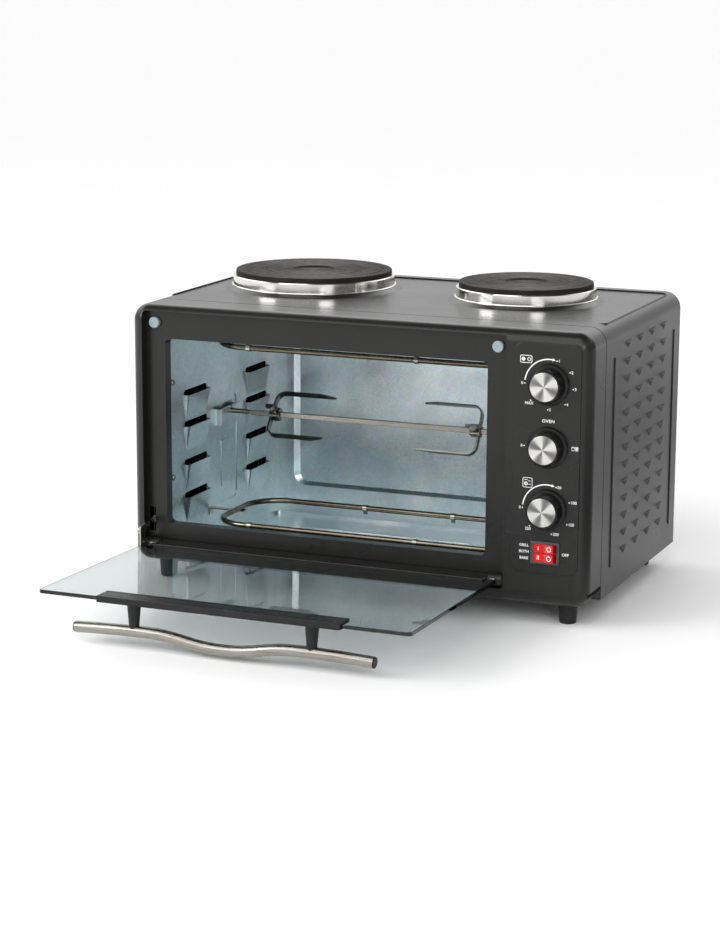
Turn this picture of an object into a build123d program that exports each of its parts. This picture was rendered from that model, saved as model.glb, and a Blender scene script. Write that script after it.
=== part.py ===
from build123d import *
import math
import os

# Rotisserie oven with two hotplates, in millimetres, +Z up.
# It is modelled with its front face on Y = 0 and its feet on Z = 0, the door open towards -Y,
# and moved at the end so that the centre of its whole footprint is the origin.

# ---------------------------------------------------------------- driving dimensions
SHEET = 1.2                      # sheet metal of the casing and the liner
GAP = 0.3                        # clearance between pieces that move past each other

BODY_WIDTH = 546.0
BODY_DEPTH = 346.0
BODY_HEIGHT = 301.0
FOOT_HEIGHT = 23.0
BODY_BOTTOM = FOOT_HEIGHT
BODY_TOP = FOOT_HEIGHT + BODY_HEIGHT
HALF_WIDTH = BODY_WIDTH / 2

FRAME_DEPTH = 52.0               # the drawn front frame, from its face back to the seam
FRAME_CORNER = 19.0
FRAME_ROLL = 16.0
SEAM = 1.5
SHELL_FRONT = FRAME_DEPTH + SEAM
SHELL_CORNER = FRAME_CORNER
FIELD_SINK = 1.5                 # the top panel's field lies this far below its rim
FIELD_TOP = BODY_TOP - FIELD_SINK

RECESS_LEFT = -258.0             # shallow recess that the closed door lies in
RECESS_RIGHT = 178.0
RECESS_BOTTOM = 38.0
RECESS_TOP = 317.0
RECESS_DEPTH = 12.0
RECESS_CORNER = 4.0

OPENING_LEFT = -234.5
OPENING_RIGHT = 153.0
OPENING_BOTTOM = 70.5
OPENING_TOP = 285.0
OPENING_CORNER = 6.0
OPENING_FLANGE = 14.0            # the opening's edge is turned back this far

LINER_FRONT = RECESS_DEPTH + OPENING_FLANGE
LINER_LEFT = OPENING_LEFT - SHEET - GAP
LINER_RIGHT = OPENING_RIGHT + SHEET + GAP
LINER_BACK = 325.0
LINER_FLOOR = 36.0
LINER_TOP = 288.0
FLOOR_PRESS = 4.0                # depth of the panel pressed down into the floor
WALL_PRESS = 1.0
BACK_PRESS = 4.0
LINER_SCREW_Y = 31.0
LINER_SCREW_HEIGHTS = (231.0, 120.0)

PANEL_LEFT = 187.5               # embossed control panel
PANEL_RIGHT = 262.5
PANEL_BOTTOM = 60.5
PANEL_TOP = 312.0
PANEL_RISE = 1.0
KNOB_X = 226.8
HOTPLATE_KNOB_Z = 267.8
FUNCTION_KNOB_Z = 199.8
OVEN_KNOB_Z = 131.8
KNOB_FACE_Y = -18.6
KNOB_FLANGE_RADIUS = 22.5
KNOB_FACE_RADIUS = 15.7
SHAFT_RADIUS = 3.0
RUNNING_FIT = 0.05

SWITCH_X = 226.2                 # twin rocker switch under the knobs
SWITCH_Z = 83.8
SWITCH_WIDTH = 32.4
SWITCH_HEIGHT = 25.0
ROCKER_LENGTH = 25.6
ROCKER_HEIGHT = 9.2
ROCKER_PITCH = 10.2
ROCKER_TILT = -9.0              # left ends pressed in
ROCKER_PIVOT_Y = 2.0
ROCKER_PIN_RADIUS = 1.5
ROCKER_PIN_REACH = 0.45          # how far each pivot pin stands out of its rocker

HINGE_Y = 4.0                    # door hinge axis, along X
HINGE_Z = 47.2
DOOR_RISE = 1.3                  # degrees that the open door stays above level
GLASS_LEFT = -250.5
GLASS_RIGHT = 173.0
GLASS_TOP = 3.1                  # inner face of the glass above the hinge axis, door open
GLASS_THICKNESS = 4.0
GLASS_REACH = 264.0
RAIL_LEFT = -238.0
RAIL_RIGHT = 161.0
KNUCKLE_RADIUS = 6.5
HINGE_PIN_RADIUS = 2.0

HANDLE_X = -40.5                 # handle centre line across the door
HANDLE_Y = -253.0
HANDLE_STRIP_LENGTH = 276.0
HANDLE_LENGTH = 340.0
HANDLE_RADIUS = 6.2
HANDLE_WALL = 1.0
HANDLE_DROP = 33.0               # handle centre below the hinge plane at its posts
HANDLE_BOW = 9.0                 # the middle is bowed this much further out
POST_SPACING = 203.0
POST_TOP_RADIUS = 7.5
POST_BOTTOM_RADIUS = 5.0

STAY_RIVET_Y = -21.7             # door stay's rivet from the hinge axis, door open
STAY_RIVET_Z = 19.3
STAY_ANGLE = 11.3
STAY_REACH = 32.9                # from its rivet to the turned tab that stops the door
STAY_RIVET_RADIUS = 2.4

SPIT_Y = 173.0
SPIT_Z = 174.5
SPIT_SIZE = 6.0
SPIT_ROUND_RADIUS = 2.9
SPIT_LEFT = -233.5
SPIT_SHOULDER = -201.0
SPIT_RIGHT = 163.0
PRONG_RADIUS = 29.0
PRONG_LENGTH = 73.0
PRONG_TIP = 17.0
HUB_BORE_RADIUS = 4.06
THUMB_SCREW_RADIUS = 2.0
LEFT_FORK_X = -174.0
RIGHT_FORK_X = 87.0
LEFT_FORK_TURN = 41.0
RIGHT_FORK_TURN = 28.0

ELEMENT_RADIUS = 3.25
ELEMENT_LEFT = -195.0
ELEMENT_FRONT = 46.0
ELEMENT_REAR = 182.0
ELEMENT_BEND = 42.0
LOWER_ELEMENT_Z = 68.0
UPPER_ELEMENT_Z = 275.0
ELEMENT_END = 176.0
FRONT_CLIPS = (-146.0, 58.0)
REAR_CLIPS = (-58.0, 53.0)

PLATE_Y = 224.5                  # hotplates
LEFT_PLATE_X = -143.0
RIGHT_PLATE_X = 123.0
LEFT_PLATE_RADIUS = 92.5
RIGHT_PLATE_RADIUS = 77.5
PLATE_TOP = 344.0
TRIM_TOP = 338.3
COLLAR_HEIGHT = 3.5
PLATE_DIMPLE_RADIUS = 26.0

LOUVRE_TOPS = (216.5, 179.5, 134.5, 95.5)
LOUVRE_CENTRES = (91.5, 259.5)
LOUVRE_WIDTH = 62.0
LOUVRE_DEPTH = 6.5
LOUVRE_MOUTH = 5.5                # height of the slot in the wall above each hood
LOUVRE_DROP = 34.0

DIMPLE_COLUMNS = 4               # pressed triangles on each side of the casing
DIMPLE_ROWS = 13
DIMPLE_FIRST_Y = 136.0
DIMPLE_COLUMN_PITCH = 47.0
DIMPLE_TOP_Z = 294.0
DIMPLE_ROW_PITCH = 19.4
DIMPLE_RISE = 3.2

GLAND_X = 236.0                  # cord inlet in the rear panel
GLAND_Z = 44.0
GLAND_RADIUS = 6.0

FOOT_X = 243.0
FOOT_FRONT_Y = 32.0
FOOT_REAR_Y = 314.0

nodes = {}


# ---------------------------------------------------------------- plain shapes
def block(x0, x1, y0, y1, z0, z1):
    centre = Pos((x0 + x1) / 2, (y0 + y1) / 2, (z0 + z1) / 2)
    return centre * Box(x1 - x0, y1 - y0, z1 - z0)


def rod_x(x0, x1, y, z, radius):
    return Pos((x0 + x1) / 2, y, z) * Rot(0, 90, 0) * Cylinder(radius, x1 - x0)


def rod_y(y0, y1, x, z, radius):
    return Pos(x, (y0 + y1) / 2, z) * Rot(90, 0, 0) * Cylinder(radius, y1 - y0)


def rod_z(z0, z1, x, y, radius):
    return Pos(x, y, (z0 + z1) / 2) * Cylinder(radius, z1 - z0)


def front_plate(x0, x1, z0, z1, y0, y1, corner):
    """Plate that faces the front, a rounded rectangle in X and Z, from y0 back to y1."""
    outline = Pos((x0 + x1) / 2, (z0 + z1) / 2) * RectangleRounded(x1 - x0, z1 - z0, corner)
    return extrude(Plane.XZ.offset(-y1) * outline, y1 - y0)


def side_plate(y0, y1, z0, z1, x0, x1, corner):
    """Plate that faces sideways, a rounded rectangle in Y and Z, from x0 to x1."""
    outline = Pos((y0 + y1) / 2, (z0 + z1) / 2) * RectangleRounded(y1 - y0, z1 - z0, corner)
    return extrude(Plane.YZ.offset(x0) * outline, x1 - x0)


def flat_plate(x0, x1, y0, y1, z0, z1, corner):
    """Plate that lies flat, a rounded rectangle in X and Y, from z0 up to z1."""
    outline = Pos((x0 + x1) / 2, (y0 + y1) / 2) * RectangleRounded(x1 - x0, y1 - y0, corner)
    return extrude(Plane.XY.offset(z0) * outline, z1 - z0)


def group(solids):
    return Compound(children=list(solids))


# ---------------------------------------------------------------- casing
def rolled_box(inset):
    """The front frame's outer form, or its hollow when inset by the sheet thickness."""
    form = front_plate(
        -HALF_WIDTH + inset, HALF_WIDTH - inset,
        BODY_BOTTOM + inset, BODY_TOP - inset,
        inset, FRAME_DEPTH + inset, FRAME_CORNER - inset,
    )
    front_edges = form.faces().sort_by(Axis.Y)[0].edges()
    return fillet(front_edges, FRAME_ROLL - inset)


def make_front_frame():
    form = rolled_box(0)
    frame = form - rolled_box(SHEET)
    tray = front_plate(
        RECESS_LEFT - SHEET, RECESS_RIGHT + SHEET, RECESS_BOTTOM - SHEET, RECESS_TOP + SHEET,
        0, RECESS_DEPTH + SHEET, RECESS_CORNER + SHEET,
    )
    frame += tray & form
    frame -= front_plate(
        RECESS_LEFT, RECESS_RIGHT, RECESS_BOTTOM, RECESS_TOP, -1, RECESS_DEPTH, RECESS_CORNER
    )
    frame += front_plate(
        OPENING_LEFT - SHEET, OPENING_RIGHT + SHEET, OPENING_BOTTOM - SHEET, OPENING_TOP + SHEET,
        RECESS_DEPTH, LINER_FRONT - GAP, OPENING_CORNER + SHEET,
    )
    frame -= front_plate(
        OPENING_LEFT, OPENING_RIGHT, OPENING_BOTTOM, OPENING_TOP,
        RECESS_DEPTH - 1, LINER_FRONT + 1, OPENING_CORNER,
    )
    pad = front_plate(PANEL_LEFT, PANEL_RIGHT, PANEL_BOTTOM, PANEL_TOP, -PANEL_RISE, 1, 10)
    pad = fillet(pad.faces().sort_by(Axis.Y)[0].edges(), 0.8)
    frame += pad
    for knob_z in (HOTPLATE_KNOB_Z, FUNCTION_KNOB_Z, OVEN_KNOB_Z):
        frame -= rod_y(-5, 5, KNOB_X, knob_z, SHAFT_RADIUS + 2)
    frame -= block(
        SWITCH_X - 14, SWITCH_X + 14, -5, 5, SWITCH_Z - 10.8, SWITCH_Z + 10.8
    )
    frame -= block(RECESS_LEFT + 1, -249, RECESS_DEPTH - 1, RECESS_DEPTH + 3, 60, 88)
    pin_hole = HINGE_PIN_RADIUS + RUNNING_FIT
    frame -= rod_x(RECESS_LEFT - 3, RECESS_LEFT + 1, HINGE_Y, HINGE_Z, pin_hole)
    frame -= rod_x(RECESS_RIGHT - 1, RECESS_RIGHT + 3, HINGE_Y, HINGE_Z, pin_hole)
    for side in (-1, 1):
        frame -= rod_z(BODY_BOTTOM - 1, BODY_BOTTOM + 3, side * FOOT_X, FOOT_FRONT_Y, 2.2)
    return frame


def pressed_triangle(y, z):
    """Sharp pyramid pressed outwards on the right side: a steep front facet, a long rear one."""
    root = HALF_WIDTH - SHEET / 2
    front = Vector(root, y - 13, z + 3.5)
    rear = Vector(root, y + 15, z + 5)
    low = Vector(root, y + 1, z - 5.5)
    peak = Vector(HALF_WIDTH + DIMPLE_RISE, y - 6, z + 3)
    corners = [(front, rear, low), (front, low, peak), (low, rear, peak), (rear, front, peak)]
    return Solid(Shell([Face(Wire.make_polygon(corner)) for corner in corners]))


def side_bead(y, z0, z1):
    bead = side_plate(y - 2.5, y + 2.5, z0, z1, HALF_WIDTH - SHEET / 2, HALF_WIDTH + 1.2, 2.4)
    return fillet(bead.faces().sort_by(Axis.X)[-1].edges(), 1.0)


def shell_section(inset, bottom):
    """Upright section of the wrap-round shell, rounded at its two top corners."""
    half = HALF_WIDTH - inset
    corner = SHELL_CORNER - inset
    outline = Pos(0, (bottom + BODY_TOP - inset) / 2) * Rectangle(2 * half, BODY_TOP - inset - bottom)
    return fillet(outline.vertices().sort_by(Axis.Y)[-2:], corner)


def make_outer_shell():
    rear_plane = Plane.XZ.offset(-BODY_DEPTH)
    length = BODY_DEPTH - SHELL_FRONT
    shell = extrude(rear_plane * shell_section(0, BODY_BOTTOM), length)
    shell -= extrude(rear_plane * shell_section(SHEET, BODY_BOTTOM - 5), length)
    shell += flat_plate(-263, 263, 76, 334, FIELD_TOP - SHEET, BODY_TOP, 14)
    shell -= flat_plate(-262, 262, 77, 333, FIELD_TOP, BODY_TOP + 5, 13)
    for x, radius in ((LEFT_PLATE_X, LEFT_PLATE_RADIUS), (RIGHT_PLATE_X, RIGHT_PLATE_RADIUS)):
        collar = Cone(radius + 13, radius + 6, COLLAR_HEIGHT)
        shell += Pos(x, PLATE_Y, FIELD_TOP + COLLAR_HEIGHT / 2) * collar
        shell -= rod_z(FIELD_TOP - 5, FIELD_TOP + 10, x, PLATE_Y, radius - 4)
    reliefs = []
    for column in range(DIMPLE_COLUMNS):
        for row in range(DIMPLE_ROWS):
            y = DIMPLE_FIRST_Y + column * DIMPLE_COLUMN_PITCH
            z = DIMPLE_TOP_Z - row * DIMPLE_ROW_PITCH
            reliefs.append(pressed_triangle(y, z))
    reliefs.append(side_bead(86, 52, 287))
    reliefs.append(side_bead(321, 50, 284))
    for relief in list(reliefs):
        reliefs.append(mirror(relief, Plane.YZ))
    return shell + reliefs


def slot_rows(x_centres, z_values, length):
    """Horizontal ventilation slots through the rear panel."""
    return [
        front_plate(x - length / 2, x + length / 2, z - 2, z + 2, BODY_DEPTH - 6, BODY_DEPTH, 1.9)
        for x in x_centres
        for z in z_values
    ]


def make_rear_panel():
    edge = SHEET + GAP
    rear = BODY_DEPTH - 2
    panel = extrude(
        Plane.XZ.offset(-rear) * shell_section(edge, BODY_BOTTOM + 0.2), SHEET
    )
    low_rows = [60 + 10 * i for i in range(10)]
    high_rows = [250 + 10 * i for i in range(5)]
    panel -= slot_rows((195, 240), low_rows + high_rows, 36)
    panel -= slot_rows((-190, -110, -30, 50), high_rows[2:], 60)
    panel -= rod_y(rear - 5, rear + 5, GLAND_X, GLAND_Z, GLAND_RADIUS)
    for x, z in rear_screw_points():
        panel -= rod_y(rear - 5, rear + 5, x, z, 1.8)
    return panel


def rear_screw_points():
    return [(x, z) for x in (-255, -85, 85, 255) for z in (36, 308)]


def make_bottom_panel():
    edge = SHEET + GAP
    panel = block(
        -HALF_WIDTH + edge, HALF_WIDTH - edge,
        SHELL_FRONT + GAP, BODY_DEPTH - 2 - SHEET - GAP,
        BODY_BOTTOM, BODY_BOTTOM + SHEET,
    )
    for i in range(14):
        y = 110 + 12 * i
        panel -= flat_plate(185, 235, y - 2, y + 2, BODY_BOTTOM - 2, BODY_BOTTOM + 4, 1.9)
    for side in (-1, 1):
        panel -= rod_z(BODY_BOTTOM - 1, BODY_BOTTOM + 3, side * FOOT_X, FOOT_REAR_Y, 2.2)
    return panel


def make_foot(x, y):
    foot = Pos(x, y, FOOT_HEIGHT / 2) * Cone(9.3, 11, FOOT_HEIGHT)
    foot = fillet(foot.edges().sort_by(Axis.Z)[0], 1.5)
    foot -= rod_z(-1, 14, x, y, 4.5)
    return foot - rod_z(10, FOOT_HEIGHT + 1, x, y, 2.2)


def pan_screw(length):
    """Screw that points along -Z from its head, whose underside is at the origin."""
    head = fillet((Pos(0, 0, 1.2) * Cylinder(3.6, 2.4)).edges().sort_by(Axis.Z)[-1], 1.1)
    head -= Pos(0, 0, 2) * (Box(3.6, 0.8, 1.6) + Box(0.8, 3.6, 1.6))
    return head + Pos(0, 0, -length / 2) * Cylinder(1.75, length)


def make_casing_screws():
    screws = []
    for x, z in rear_screw_points():
        screws.append(Pos(x, BODY_DEPTH - 2, z) * Rot(-90, 0, 0) * pan_screw(6))
    for x in (-FOOT_X, FOOT_X):
        for y in (FOOT_FRONT_Y, FOOT_REAR_Y):
            screws.append(Pos(x, y, 14) * Rot(180, 0, 0) * pan_screw(16))
    for z in LINER_SCREW_HEIGHTS:
        screws.append(Pos(LINER_LEFT, LINER_SCREW_Y, z) * Rot(0, 90, 0) * pan_screw(6))
        screws.append(Pos(LINER_RIGHT, LINER_SCREW_Y, z) * Rot(0, -90, 0) * pan_screw(6))
    return group(screws)


def make_cable_gland():
    panel_rear = BODY_DEPTH - 2
    gland = rod_y(panel_rear - SHEET - 6, panel_rear, GLAND_X, GLAND_Z, GLAND_RADIUS - 0.1)
    flange = rod_y(panel_rear, panel_rear + 3, GLAND_X, GLAND_Z, GLAND_RADIUS + 4)
    nose = rod_y(panel_rear + 3, panel_rear + 9, GLAND_X, GLAND_Z, GLAND_RADIUS)
    nose = fillet(nose.edges().sort_by(Axis.Y)[-1], 2)
    bore = rod_y(panel_rear - 10, panel_rear + 12, GLAND_X, GLAND_Z, 3.6)
    return gland + flange + nose - bore


# ---------------------------------------------------------------- cavity liner
def louvre_form(width, depth, top, drop, y, wall_x):
    """Scoop that bulges from a side wall at its top and runs out into the wall below."""
    upper = Plane.XY.offset(top) * Pos(wall_x, y) * RectangleRounded(2 * depth, width, depth * 0.75)
    lower = Plane.XY.offset(top - drop) * Pos(wall_x, y) * RectangleRounded(1.2, width - 10, 0.5)
    return loft([upper, lower])


def rack_louvre(y, top, wall_x, wall_thickness):
    """Hood and its hollow, for a wall whose inner face is at wall_x and which faces +X."""
    lip = top - LOUVRE_MOUTH
    drop = LOUVRE_DROP - LOUVRE_MOUTH
    room = block(wall_x - wall_thickness / 2, wall_x + 30, y - 60, y + 60, top - 60, top + 30)
    hood = louvre_form(LOUVRE_WIDTH, LOUVRE_DEPTH, lip, drop, y, wall_x) & room
    hollow = louvre_form(LOUVRE_WIDTH - 2.4, LOUVRE_DEPTH - 1.1, lip + 1, drop - 3, y, wall_x)
    hollow &= block(wall_x - 10, wall_x + 30, y - 60, y + 60, lip - 12, top + 30)
    half = LOUVRE_WIDTH / 2 - 1.2
    mouth = side_plate(y - half, y + half, lip - 3, top, wall_x - 5, wall_x + 1, 2.5)
    return hood, hollow + mouth


def make_side_liner():
    """Left wall of the cavity, facing +X, with eight hooded rack supports."""
    wall = block(LINER_LEFT - SHEET, LINER_LEFT, LINER_FRONT, LINER_BACK, LINER_FLOOR, LINER_TOP)
    wall += side_plate(
        140, 204, 63, 192, LINER_LEFT - SHEET - WALL_PRESS, LINER_LEFT, 8
    )
    wall -= side_plate(141, 203, 64, 191, LINER_LEFT - WALL_PRESS, LINER_LEFT + 5, 7)
    wall += side_plate(161, 188, 83, 140, LINER_LEFT - WALL_PRESS - SHEET / 2, LINER_LEFT, 4)
    for y in LOUVRE_CENTRES:
        for top in LOUVRE_TOPS:
            hood, hollow = rack_louvre(y, top, LINER_LEFT, SHEET)
            wall += hood
            wall -= hollow
    wall += block(LINER_LEFT - 8, LINER_LEFT, LINER_FRONT, LINER_FRONT + SHEET, 60, 280)
    for z in LINER_SCREW_HEIGHTS:
        wall -= rod_x(LINER_LEFT - 3, LINER_LEFT + 3, LINER_SCREW_Y, z, 1.8)
    return wall


def liner_wall_right():
    centre = (LINER_LEFT + LINER_RIGHT) / 2
    wall = mirror(make_side_liner(), Plane.YZ.offset(centre))
    wall -= rod_x(LINER_RIGHT - 2, LINER_RIGHT + 5, SPIT_Y, SPIT_Z, 9.5)
    for z in (LOWER_ELEMENT_Z, UPPER_ELEMENT_Z):
        for y in (ELEMENT_FRONT, ELEMENT_REAR):
            wall -= rod_x(LINER_RIGHT - 2, LINER_RIGHT + 12, y, z, 5.2)
    return wall - rod_x(LINER_RIGHT - 2, LINER_RIGHT + 12, 150, 255, 1.6)


def make_cavity_top():
    return block(
        LINER_LEFT - SHEET, LINER_RIGHT + SHEET, LINER_FRONT, LINER_BACK,
        LINER_TOP, LINER_TOP + SHEET,
    )


def make_cavity_floor():
    """Floor with a turned-up lip at the sill, a sunk panel and a rib across that panel."""
    floor = block(
        LINER_LEFT - SHEET, LINER_RIGHT + SHEET, LINER_FRONT, LINER_BACK,
        LINER_FLOOR - SHEET, LINER_FLOOR,
    )
    floor += block(
        LINER_LEFT + GAP, LINER_RIGHT - GAP, LINER_FRONT, LINER_FRONT + SHEET,
        LINER_FLOOR, OPENING_BOTTOM - 0.5,
    )
    sunk = LINER_FLOOR - FLOOR_PRESS
    floor += flat_plate(-208.2, 126.7, 40.8, 258.2, sunk - SHEET, LINER_FLOOR, 9.2)
    floor -= flat_plate(-207, 125.5, 42, 257, sunk, LINER_FLOOR + 5, 8)
    rib = flat_plate(-150, 68, 199, 203, sunk - 0.5, sunk + 1.4, 1.9)
    return floor + fillet(rib.faces().sort_by(Axis.Z)[-1].edges(), 1.0)


def back_press(grow):
    """Tapered form of the panel pressed into the back wall."""
    middle = (LINER_LEFT + LINER_RIGHT) / 2
    mouth = Pos(middle, 167.5) * RectangleRounded(347 + 2 * grow, 226 + 2 * grow, 16 + grow)
    bed = Pos(middle, 167.5) * RectangleRounded(333 + 2 * grow, 217 + 2 * grow, 11 + grow)
    return loft([
        Plane.XZ.offset(-LINER_BACK - grow) * mouth,
        Plane.XZ.offset(-LINER_BACK - grow - BACK_PRESS) * bed,
    ])


def make_cavity_back():
    wall = block(
        LINER_LEFT - SHEET, LINER_RIGHT + SHEET, LINER_BACK, LINER_BACK + SHEET,
        LINER_FLOOR - SHEET, LINER_TOP + SHEET,
    )
    return wall + back_press(SHEET) - back_press(0)


# ---------------------------------------------------------------- heating elements
def make_element(z):
    """Tubular U element: its two legs leave through the right wall."""
    path = FilletPolyline(
        (ELEMENT_END, ELEMENT_FRONT, z), (ELEMENT_LEFT, ELEMENT_FRONT, z),
        (ELEMENT_LEFT, ELEMENT_REAR, z), (ELEMENT_END, ELEMENT_REAR, z),
        radius=ELEMENT_BEND,
    )
    section = Plane(origin=path @ 0, z_dir=path % 0) * Circle(ELEMENT_RADIUS)
    return sweep(section, path)


def element_clip(x, y, z, side):
    """Split ring round a leg, with a short tail below (side -1) or above it (side 1)."""
    ring = rod_x(x - 2.5, x + 2.5, y, z, ELEMENT_RADIUS + 0.9)
    ring -= rod_x(x - 4, x + 4, y, z, ELEMENT_RADIUS + 0.1)
    near = z + side * (ELEMENT_RADIUS + 0.6)
    far = z + side * (ELEMENT_RADIUS + 4)
    return ring + block(x - 2.5, x + 2.5, y - 0.6, y + 0.6, min(near, far), max(near, far))


def side_clip(z):
    """Strap from the left wall that carries the element's closed end."""
    y = 129
    under = z - ELEMENT_RADIUS - 0.1
    strap = block(LINER_LEFT, ELEMENT_LEFT + 5, y - 5, y + 5, under - SHEET, under)
    return strap + block(LINER_LEFT, LINER_LEFT + SHEET, y - 5, y + 5, under - 9, under)


def make_element_clips():
    clips = [side_clip(LOWER_ELEMENT_Z), side_clip(UPPER_ELEMENT_Z)]
    for z, side in ((LOWER_ELEMENT_Z, -1), (UPPER_ELEMENT_Z, 1)):
        clips += [element_clip(x, ELEMENT_FRONT, z, side) for x in FRONT_CLIPS]
        clips += [element_clip(x, ELEMENT_REAR, z, side) for x in REAR_CLIPS]
    return group(clips)


def make_element_terminals():
    """Ceramic bead and blade tag on each of the four cold ends."""
    ends = []
    for z in (LOWER_ELEMENT_Z, UPPER_ELEMENT_Z):
        for y in (ELEMENT_FRONT, ELEMENT_REAR):
            bead = rod_x(ELEMENT_END, ELEMENT_END + 6, y, z, 4)
            ends.append(bead + block(ELEMENT_END + 6, ELEMENT_END + 15, y - 3, y + 3, z - 0.4, z + 0.4))
    return group(ends)


# ---------------------------------------------------------------- rotisserie
def make_spit_bracket():
    """Plate stood off the left wall, with an open notch that the spit's round end lies in."""
    left = LINER_LEFT + 6
    plate = side_plate(147, 206, 158, 181, left, left + 1.5, 3)
    for y in (149, 201):
        plate += block(LINER_LEFT - WALL_PRESS, left + 1, y - 1, y + 1, 160, 179)
    notch = SPIT_ROUND_RADIUS + RUNNING_FIT
    plate -= rod_x(left - 1, left + 3, SPIT_Y, SPIT_Z, notch)
    return plate - block(left - 1, left + 3, SPIT_Y - notch, SPIT_Y + notch, SPIT_Z, 190)


def make_spit():
    tip = Pos(SPIT_LEFT - 1, SPIT_Y, SPIT_Z) * Rot(0, -90, 0) * Cone(SPIT_ROUND_RADIUS, 1.6, 2)
    journal = rod_x(SPIT_LEFT, SPIT_SHOULDER - 6, SPIT_Y, SPIT_Z, SPIT_ROUND_RADIUS)
    neck = rod_x(SPIT_SHOULDER - 6, SPIT_SHOULDER, SPIT_Y, SPIT_Z, 2.2)
    half = SPIT_SIZE / 2
    bar = block(
        SPIT_SHOULDER, SPIT_RIGHT, SPIT_Y - half, SPIT_Y + half, SPIT_Z - half, SPIT_Z + half
    )
    bar = fillet(bar.edges().filter_by(Axis.X), 0.6)
    return tip + journal + neck + bar


def fork_at_origin():
    """Stamped two-pronged fork: a strip across the axis, bent into prongs along +X."""
    thickness = 2.2
    width = 7.5
    spine = FilletPolyline(
        (PRONG_LENGTH, -PRONG_RADIUS), (0, -PRONG_RADIUS),
        (0, PRONG_RADIUS), (PRONG_LENGTH, PRONG_RADIUS),
        radius=11,
    )
    section = Plane(origin=spine @ 0, z_dir=spine % 0) * Rectangle(thickness, width)
    upright = Plane.XZ * sweep(section, spine)
    for side in (-1, 1):
        near = -side * (width / 2 + 0.1)
        far = side * (width / 2 - 0.8)
        corner = Polyline(
            (PRONG_LENGTH - PRONG_TIP, near), (PRONG_LENGTH + 1, near), (PRONG_LENGTH + 1, far),
            close=True,
        )
        upright -= Pos(0, 0, side * PRONG_RADIUS - 3) * extrude(make_face(corner), 6)
    hub = Pos(4, 0, 0) * Box(12, 12.5, 13)
    hub = fillet(hub.edges().filter_by(Axis.X), 1.5)
    fork = upright + hub - rod_x(-20, 20, 0, 0, HUB_BORE_RADIUS)
    return fork - rod_y(-12, 0, 4, 0, THUMB_SCREW_RADIUS + RUNNING_FIT)


def thumb_screw_at_origin():
    """Wing screw, clamping towards the axis from -Y."""
    stem = rod_y(-15, -HUB_BORE_RADIUS - 0.1, 4, 0, THUMB_SCREW_RADIUS)
    wing = Pos(4, -17, 0) * Box(15, 8, 2.6)
    wing = fillet(wing.edges().filter_by(Axis.Z), 2.5)
    return stem + wing + rod_y(-14, -11, 4, 0, 3.6)


def place_left_fork(piece):
    return Pos(LEFT_FORK_X, SPIT_Y, SPIT_Z) * Rot(-LEFT_FORK_TURN, 0, 0) * piece


def place_right_fork(piece):
    turned = Rot(-RIGHT_FORK_TURN, 0, 0) * mirror(piece, Plane.YZ)
    return Pos(RIGHT_FORK_X, SPIT_Y, SPIT_Z) * turned


def make_drive_socket():
    socket = rod_x(LINER_RIGHT - 3, LINER_RIGHT + 12, SPIT_Y, SPIT_Z, 8.5)
    shaft = rod_x(LINER_RIGHT + 12, LINER_RIGHT + 26, SPIT_Y, SPIT_Z, SHAFT_RADIUS)
    half = SPIT_SIZE / 2 + 0.05
    mouth = block(
        LINER_RIGHT - 5, SPIT_RIGHT + 0.5, SPIT_Y - half, SPIT_Y + half, SPIT_Z - half, SPIT_Z + half
    )
    return socket + shaft - mouth


def make_gearmotor():
    """Geared motor on four posts behind the cavity's right wall."""
    face = LINER_RIGHT + 18
    motor = rod_x(face, face + 24, SPIT_Y, SPIT_Z, 25)
    motor = fillet(motor.edges().sort_by(Axis.X)[-1], 2)
    motor += side_plate(SPIT_Y - 32, SPIT_Y + 32, SPIT_Z - 17, SPIT_Z + 17, face - 1.5, face, 4)
    for dy in (-27, 27):
        for dz in (-12, 12):
            motor += rod_x(LINER_RIGHT + SHEET + WALL_PRESS, face - 1, SPIT_Y + dy, SPIT_Z + dz, 2.5)
    return motor - rod_x(face - 5, face + 16, SPIT_Y, SPIT_Z, SHAFT_RADIUS + RUNNING_FIT)


# ---------------------------------------------------------------- door
def hang_door(piece):
    """Takes a piece drawn level, with the hinge axis at the origin, to the open door's place."""
    return Pos(0, HINGE_Y, HINGE_Z) * Rot(-DOOR_RISE, 0, 0) * piece


def make_door_glass():
    glass = flat_plate(
        GLASS_LEFT, GLASS_RIGHT, -GLASS_REACH, -8, GLASS_TOP - GLASS_THICKNESS, GLASS_TOP, 5
    )
    return chamfer(glass.faces().sort_by(Axis.Z)[-1].edges(), 0.5)


def make_hinge_rail():
    rail = block(RAIL_LEFT, RAIL_RIGHT, -22, 5, -4.6, 4.8)
    rail = fillet(rail.edges().filter_by(Axis.X), 1.2)
    return rail - block(
        RAIL_LEFT - 5, RAIL_RIGHT + 5, -30, -8, GLASS_TOP - GLASS_THICKNESS, GLASS_TOP
    )


def make_hinge_knuckles():
    left = rod_x(RECESS_LEFT + 0.6, RAIL_LEFT, 0, 0, KNUCKLE_RADIUS)
    right = rod_x(RAIL_RIGHT, RECESS_RIGHT - 0.6, 0, 0, KNUCKLE_RADIUS)
    left = fillet(left.edges().sort_by(Axis.X)[0], 1.5)
    right = fillet(right.edges().sort_by(Axis.X)[-1], 1.5)
    left -= rod_x(RECESS_LEFT - 1, RECESS_LEFT + 14, 0, 0, HINGE_PIN_RADIUS)
    right -= rod_x(RECESS_RIGHT - 14, RECESS_RIGHT + 1, 0, 0, HINGE_PIN_RADIUS)
    return group([left, right])


def make_hinge_pins():
    left = rod_x(RECESS_LEFT - SHEET, RECESS_LEFT + 14, 0, 0, HINGE_PIN_RADIUS)
    right = rod_x(RECESS_RIGHT - 14, RECESS_RIGHT + SHEET, 0, 0, HINGE_PIN_RADIUS)
    return group([left, right])


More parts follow.
